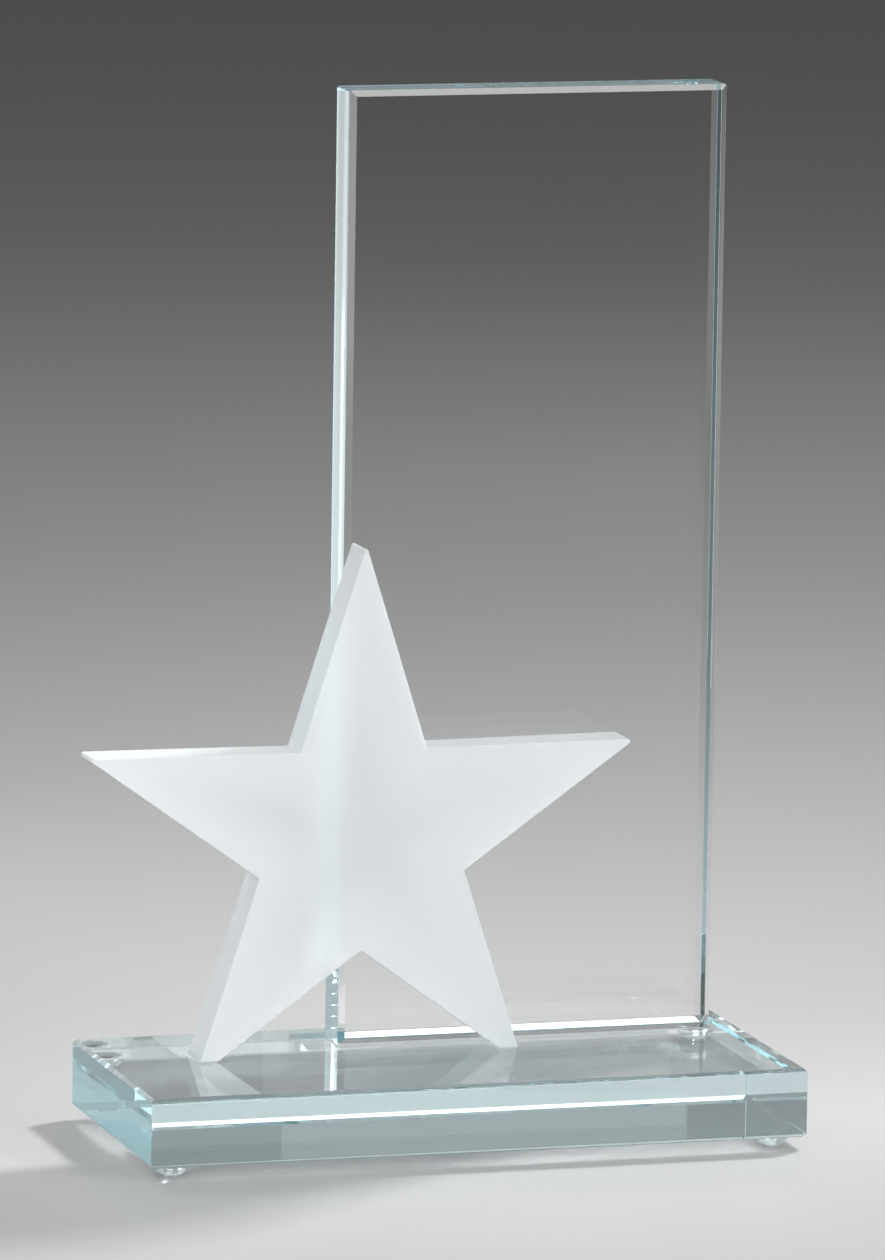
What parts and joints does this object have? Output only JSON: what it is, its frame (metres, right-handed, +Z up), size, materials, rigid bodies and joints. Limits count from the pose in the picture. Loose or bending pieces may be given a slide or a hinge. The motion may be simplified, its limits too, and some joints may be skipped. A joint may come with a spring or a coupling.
{
  "type": "glass star award trophy",
  "caption": "Free-standing award: clear bevelled glass panel on a thick glass base, with a frosted glass star in front, on clear domed rubber feet.",
  "frame": {"origin": "centre of the whole outline, on the surface the four feet rest on", "axes": "+X to the right seen from the front, +Y from the front to the back, +Z up along the panel's height"},
  "size_m": [0.1496, 0.065, 0.2238],
  "materials": {
    "clear_glass": "polished plate glass with a faint blue-green tint, polished bevels",
    "frosted_glass": "sandblasted white all over, translucent",
    "glass_bond": "clear cured adhesive",
    "clear_rubber": "clear soft polyurethane, glossy",
    "foot_adhesive": "clear pressure-sensitive adhesive"
  },
  "bodies": {
    "root": {"base_block": "clear_glass", "back_panel": "clear_glass", "star": "frosted_glass", "panel_bond": "glass_bond", "star_bond_left": "glass_bond", "star_bond_right": "glass_bond", "foot_front_left": "clear_rubber", "foot_front_right": "clear_rubber", "foot_back_left": "clear_rubber", "foot_back_right": "clear_rubber", "foot_disc_front_left": "foot_adhesive", "foot_disc_front_right": "foot_adhesive", "foot_disc_back_left": "foot_adhesive", "foot_disc_back_right": "foot_adhesive"}
  },
  "joints": []
}
